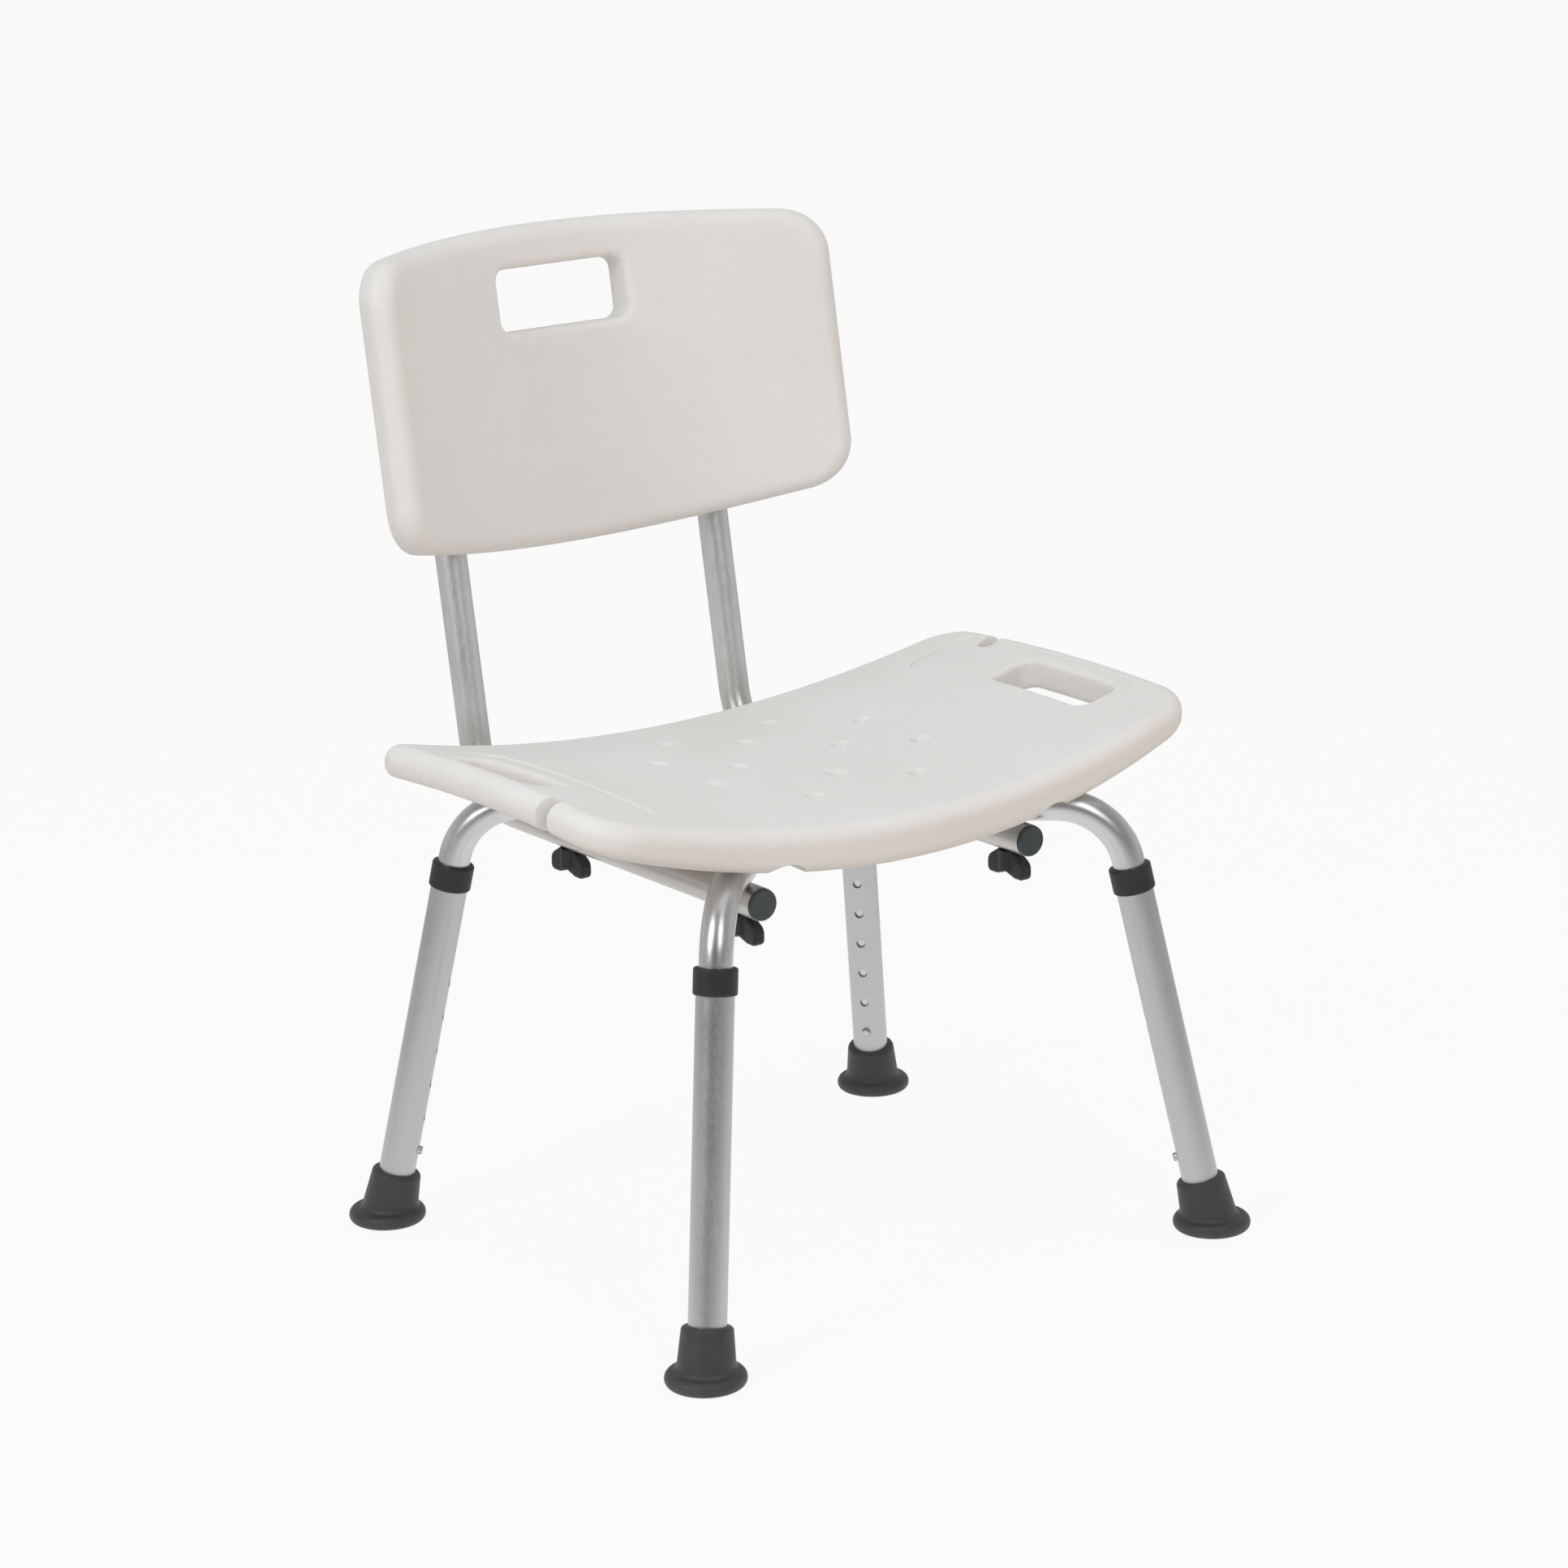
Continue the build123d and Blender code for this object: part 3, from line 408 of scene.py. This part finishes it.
class CHAIR_OT_tubes(bpy.types.Operator):
    """Give the frame tubes and the lower legs their anodised aluminium"""

    bl_idname = "chair.tubes"
    bl_label = "Tubes and legs"

    def execute(self, context):
        colours, finishes, _ = groups()
        gloss = (finishes.tube_roughness, finishes.tube_patch)
        bright = bright_metal("frame_aluminium", colours.frame_tube, *gloss)
        wear(["cross_tube_upper", "cross_tube_lower"], bright)
        # The back tubes get painted shade under the seat.
        back = anodised_tube("back_aluminium", colours.back_tube, BACK_LEAN, colours.back_tube_painted_shade)
        wear(["back_tube_" + side for side in SIDES], back)
        for corner, joint in corner_joints("leg_", "_slide"):
            satin = anodised_tube("leg_aluminium_" + corner, colours.leg_tube, joint["axis"])
            wear(["lower_leg_" + corner], satin)
        return {"FINISHED"}


class CHAIR_OT_fittings(bpy.types.Operator):
    """Give the collars, wing screws and plugs their dark plastics"""

    bl_idname = "chair.fittings"
    bl_label = "Collars, wing screws and plugs"

    def execute(self, context):
        colours, finishes, _ = groups()
        black = moulded_black("fitting_black", colours.black_plastic, finishes.fitting_roughness)
        wear(at_corners("leg_collar_") + at_corners("wing_knob_"), black)
        grey = moulded_black("plug_grey", colours.plug_plastic, finishes.plug_roughness)
        wear([end + "_plug_" + side for end in ("front", "top") for side in SIDES], grey)
        return {"FINISHED"}


class CHAIR_OT_feet(bpy.types.Operator):
    """Give the foot tips their scuffed rubber"""

    bl_idname = "chair.feet"
    bl_label = "Foot tips"

    def execute(self, context):
        wear(at_corners("foot_tip_"), tip_rubber("tip_rubber"))
        return {"FINISHED"}


class CHAIR_OT_hardware(bpy.types.Operator):
    """Give the small metal parts their plating"""

    bl_idname = "chair.hardware"
    bl_label = "Bolts, studs, clips and inserts"

    def execute(self, context):
        colours, finishes, _ = groups()
        gloss = (finishes.plating_roughness, finishes.plating_patch)
        plated = bright_metal("plated_steel", colours.steel, *gloss)
        wear(["cross_bolt", "cross_nut", "backrest_screws"], plated)
        for start in ("tip_washer_", "snap_clip_", "wing_stud_"):
            wear(at_corners(start), plated)
        brass = bright_metal("insert_brass", colours.brass, *gloss)
        wear(["backrest_inserts", *at_corners("seat_insert_")], brass)
        return {"FINISHED"}


class CHAIR_OT_screws(bpy.types.Operator):
    """Cut a cross recess into the head of each backrest screw"""

    bl_idname = "chair.screws"
    bl_label = "Backrest screws"

    def execute(self, context):
        screws = merged_copy("backrest_screws", "backrest_screws_driven")
        drive = self.add_drive(screws)
        cut = screws.modifiers.new("drive", "BOOLEAN")
        cut.object = drive
        cut.solver = "EXACT"
        pick(screws)
        bpy.ops.object.modifier_apply(modifier=cut.name)
        bpy.ops.object.shade_smooth_by_angle(angle=SMOOTH_ANGLE)
        bpy.data.objects.remove(drive)
        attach(screws, "chair")
        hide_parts("backrest_screws")
        return {"FINISHED"}

    def heads(self, screws):
        """Yield the middle of each screw's head, from the points that stand out furthest."""
        ends = {}
        for vertex in screws.data.vertices:
            spot = vertex.co
            key = (spot.x > 0, spot.z > HALFWAY_UP_SCREWS)
            ends.setdefault(key, []).append(spot)
        for spots in ends.values():
            furthest = max(spot.dot(SCREW_OUTWARD) for spot in spots)
            rim = [spot for spot in spots if furthest - spot.dot(SCREW_OUTWARD) < FLAT_TOLERANCE]
            yield sum(rim, Vector()) / len(rim)

    def add_drive(self, screws):
        """Model one cross that narrows towards its bottom, and set a copy in each head."""
        _, finishes, _ = groups()
        wing = finishes.drive_wing
        taper = finishes.drive_taper
        bpy.ops.object.select_all(action="DESELECT")
        bpy.ops.mesh.primitive_cube_add(size=wing)
        drive = bpy.context.object
        drive.name = "screw_drive"
        bpy.ops.object.mode_set(mode="EDIT")
        bpy.ops.transform.resize(value=(1, 1, 2 * finishes.drive_depth / wing))
        self.choose(drive, lambda face: abs(face.normal.z) < 0.5)
        reach = (finishes.drive_width - wing) / 2
        bpy.ops.mesh.extrude_faces_move(TRANSFORM_OT_shrink_fatten={"value": reach})
        self.choose(drive, lambda face: face.normal.z < -0.5)
        bpy.ops.transform.resize(value=(taper, taper, 1))
        bpy.ops.object.mode_set(mode="OBJECT")
        turn = SCREW_OUTWARD.to_track_quat("Z", "X").to_matrix().to_4x4()
        places = [Matrix.Translation(head) @ turn for head in self.heads(screws)]
        plain = drive.data.copy()
        drive.data.transform(places[0])
        for place in places[1:]:
            twin = bpy.data.objects.new("screw_drive", plain.copy())
            twin.data.transform(place)
            bpy.context.scene.collection.objects.link(twin)
            twin.select_set(True)
        bpy.ops.object.join()
        return drive

    def choose(self, piece, wanted):
        """Select the wanted faces in edit mode."""
        bpy.ops.object.mode_set(mode="OBJECT")
        for part in (*piece.data.vertices, *piece.data.edges):
            part.select = False
        for face in piece.data.polygons:
            face.select = wanted(face)
        bpy.ops.object.mode_set(mode="EDIT")
        bpy.ops.mesh.select_mode(type="FACE")


class CHAIR_OT_springs(bpy.types.Operator):
    """Put a copy of each snap clip on its button's body in place of the clip"""

    bl_idname = "chair.springs"
    bl_label = "Snap clips"

    def execute(self, context):
        for corner, joint in corner_joints("button_", "_press"):
            self.add_spring(corner, joint)
        return {"FINISHED"}

    def add_spring(self, corner, joint):
        """Copy a clip, hang it on its button's body, and work out the share of the clip that its button's
        travel takes up; the clip is not pressed flatter.
        """
        spring = merged_copy("snap_clip_" + corner, "snap_spring_" + corner)
        bpy.ops.object.shade_smooth_by_angle(angle=SMOOTH_ANGLE)
        press = Vector(joint["axis"])
        spots = sorted((vertex.co.copy() for vertex in spring.data.vertices), key=press.dot)
        tip, back = spots[0], spots[-1]
        give = joint["range_m"][1] / press.dot(back - tip)
        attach(spring, "button_" + corner)
        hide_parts("snap_clip_" + corner)
        1 - give
        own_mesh(spring)
        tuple(tip)


class CHAIR_OT_thread(bpy.types.Operator):
    """Add the thread on the end of the bolt where the cross tubes meet"""

    bl_idname = "chair.thread"
    bl_label = "Bolt thread"

    def execute(self, context):
        _, finishes, _ = groups()
        bolt_low, bolt_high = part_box("cross_bolt")
        nut_low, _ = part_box("cross_nut")
        middle = (Vector(bolt_low) + Vector(bolt_high)) / 2
        half_turn = finishes.thread_pitch / 2
        room = nut_low[2] - bolt_low[2] - half_turn
        thread = self.wind_thread(finishes, turns=int(room / finishes.thread_pitch))
        thread.location = (middle.x, middle.y, bolt_low[2] + half_turn)
        bpy.ops.object.transform_apply(location=True)
        thread.data.materials.append(NODES["cross_bolt"].data.materials[0])
        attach(thread, "chair")
        return {"FINISHED"}

    def wind_thread(self, finishes, turns):
        """Wind a small square section up round the bolt and close its ends."""
        pitch = finishes.thread_pitch
        rim = (finishes.bolt_radius, 0, 0)
        upright = (math.pi / 2, 0, 0)
        section = {"vertices": THREAD_SIDES, "radius": pitch * THREAD_THICKNESS}
        bpy.ops.object.select_all(action="DESELECT")
        bpy.ops.mesh.primitive_circle_add(location=rim, rotation=upright, **section)
        thread = bpy.context.object
        thread.name = "bolt_thread"
        bpy.ops.object.transform_apply(location=True, rotation=True)
        wind = thread.modifiers.new("wind", "SCREW")
        wind.screw_offset = pitch
        wind.iterations = turns
        wind.steps = THREAD_STEPS
        wind.render_steps = THREAD_STEPS
        bpy.ops.object.modifier_apply(modifier=wind.name)
        bpy.ops.object.mode_set(mode="EDIT")
        bpy.ops.mesh.select_all(action="SELECT")
        bpy.ops.mesh.fill_holes(sides=THREAD_SIDES)
        bpy.ops.mesh.normals_make_consistent(inside=False)
        bpy.ops.object.mode_set(mode="OBJECT")
        return thread


def soft_light(name, place, size, watts, tint=(1, 1, 1), in_reflections=True):
    data = bpy.data.lights.new(name, "AREA")
    data.shape = "RECTANGLE"
    data.size, data.size_y = size
    data.energy = watts
    data.color = tint
    lamp = bpy.data.objects.new(name, data)
    lamp.location = place
    lamp.rotation_euler = (LAMP_AIM - Vector(place)).to_track_quat("-Z", "Y").to_euler()
    lamp.visible_glossy = in_reflections
    bpy.context.scene.collection.objects.link(lamp)


class CHAIR_OT_stage(bpy.types.Operator):
    """Add the camera, the pale floor and the soft studio light"""

    bl_idname = "chair.stage"
    bl_label = "Studio"

    def execute(self, context):
        scene = context.scene
        _, _, studio = groups()
        scene.view_settings.view_transform = "Standard"
        self.add_camera(scene, studio)
        self.add_floor(studio)
        self.add_sky(scene, studio)
        self.add_lamps()
        return {"FINISHED"}

    def add_camera(self, scene, studio):
        turn, rise, roll = studio.azimuth, studio.elevation, studio.roll
        back = Vector((math.sin(turn) * math.cos(rise), -math.cos(turn) * math.cos(rise), math.sin(rise)))
        level = Vector((math.cos(turn), math.sin(turn), 0))
        upright = back.cross(level)
        right = level * math.cos(roll) + upright * math.sin(roll)
        up = upright * math.cos(roll) - level * math.sin(roll)
        data = bpy.data.cameras.new("camera")
        data.lens = studio.lens
        data.sensor_width = SENSOR_WIDTH
        camera = bpy.data.objects.new("camera", data)
        spot = Vector(studio.aim) + back * studio.distance
        camera.matrix_world = Matrix.Translation(spot) @ Matrix((right, up, back)).transposed().to_4x4()
        scene.collection.objects.link(camera)
        scene.camera = camera

    def add_floor(self, studio):
        bpy.ops.object.select_all(action="DESELECT")
        bpy.ops.mesh.primitive_plane_add(size=FLOOR_SIZE)
        floor = bpy.context.object
        floor.name = "floor"
        finish = Finish("floor_white")
        finish.done(studio.floor, FLOOR_ROUGHNESS)
        self.glow(finish, studio)
        floor.data.materials.append(finish.material)

    def glow(self, finish, studio):
        """Show the floor as white with a trace of shadow, and darker far from the chair in reflections."""
        ray = finish.tree.nodes.new("ShaderNodeLightPath").outputs
        camera = Wire(finish, ray["Is Camera Ray"])
        glossy = Wire(finish, ray["Is Glossy Ray"])
        clear = Wire(finish, ray["Is Transmission Ray"])
        seen = (camera + glossy + clear) * studio.floor_glow
        away = finish.node("ShaderNodeVectorMath", {"operation": "LENGTH"}, {0: finish.spot()}, "Value")
        gloom = finish.ramp(away, studio.pool, studio.pool_edge, 1 - studio.far_floor)
        white = finish.node("ShaderNodeEmission", {}, {"Color": 1 - glossy * gloom, "Strength": 1.0})
        surface = Wire(finish, finish.shader.outputs["BSDF"])
        mixed = finish.node("ShaderNodeMixShader", {}, {0: seen, 1: surface, 2: white})
        finish.feed(finish.tree.nodes["Material Output"].inputs["Surface"], mixed)

    def add_sky(self, scene, studio):
        """Surround the chair with white, and light it from a room that is darker on the camera's side."""
        world = bpy.data.worlds.new("sky")
        scene.world = world
        world.use_nodes = True
        sheet = Sheet(world.node_tree)
        turn = studio.azimuth
        facing = (math.sin(turn), -math.cos(turn), 0)
        look = sheet.node("ShaderNodeTexCoord", {}, {}, "Generated")
        along = {"operation": "DOT_PRODUCT"}
        ahead = sheet.node("ShaderNodeVectorMath", along, {0: look, 1: facing}, "Value")
        up = sheet.node("ShaderNodeSeparateXYZ", {}, {"Vector": look}, "Z")
        glossy = sheet.node("ShaderNodeLightPath", {}, {}, "Is Glossy Ray")
        camera = sheet.node("ShaderNodeLightPath", {}, {}, "Is Camera Ray")
        level = studio.sky * (1 - ahead.at_least(BRIGHTEST_AHEAD) * studio.dark_side)
        level = level * (1 - glossy * up.at_least(0.0) * studio.dark_top)
        lit = sheet.node("ShaderNodeBackground", {}, {"Color": (1, 1, 1), "Strength": level})
        shown = sheet.node("ShaderNodeBackground", {}, {"Color": (1, 1, 1), "Strength": 1.0})
        mixed = sheet.node("ShaderNodeMixShader", {}, {0: camera, 1: lit, 2: shown})
        sheet.feed(sheet.tree.nodes["World Output"].inputs["Surface"], mixed)

    def add_lamps(self):
        """Two tall boxes make the highlights on the bends, and two fills only lift the panels."""
        soft_light("overhead_softbox", place=(0.2, -0.4, 2.6), size=(2.2, 2.2), watts=8.5)
        soft_light("left_softbox", place=(-2.2, -0.3, 1.7), size=(0.9, 1.4), watts=20)
        soft_light("front_softbox", place=(-0.5, -2.3, 1.9), size=(0.9, 1.4), watts=13)
        hidden = {"in_reflections": False}
        warm = (1.0, 0.74, 0.54)
        soft_light("front_fill", place=(-2.0, -2.1, 0.9), size=(1.8, 1.4), watts=10, **hidden)
        soft_light("warm_fill", place=(1.6, -1.8, 0.3), size=(1.6, 0.5), watts=7, tint=warm, **hidden)


STEPS = (
    CHAIR_OT_panels,
    CHAIR_OT_tubes,
    CHAIR_OT_fittings,
    CHAIR_OT_feet,
    CHAIR_OT_hardware,
    CHAIR_OT_screws,
    CHAIR_OT_springs,
    CHAIR_OT_thread,
    CHAIR_OT_stage,
)


class CHAIR_PT_steps(bpy.types.Panel):
    """Lists the steps that dress the chair"""

    bl_idname = "CHAIR_PT_steps"
    bl_label = "Shower chair"
    bl_space_type = "VIEW_3D"
    bl_region_type = "UI"
    bl_category = "Chair"

    def draw(self, context):
        for step in STEPS:
            self.layout.operator(step.bl_idname)
        for group in groups():
            for key in group.__annotations__:
                self.layout.prop(group, key)


CLASSES = (ChairColours, ChairFinishes, ChairStudio, *STEPS, CHAIR_PT_steps)


def register():
    for each in CLASSES:
        bpy.utils.register_class(each)
    bpy.types.Scene.chair_colours = PointerProperty(type=ChairColours)
    bpy.types.Scene.chair_finishes = PointerProperty(type=ChairFinishes)
    bpy.types.Scene.chair_studio = PointerProperty(type=ChairStudio)


def unregister():
    del bpy.types.Scene.chair_colours
    del bpy.types.Scene.chair_finishes
    del bpy.types.Scene.chair_studio
    for each in reversed(CLASSES):
        bpy.utils.unregister_class(each)


def main():
    register()
    for step in STEPS:
        group, name = step.bl_idname.split(".")
        getattr(getattr(bpy.ops, group), name)()


if __name__ == "__main__":
    main()
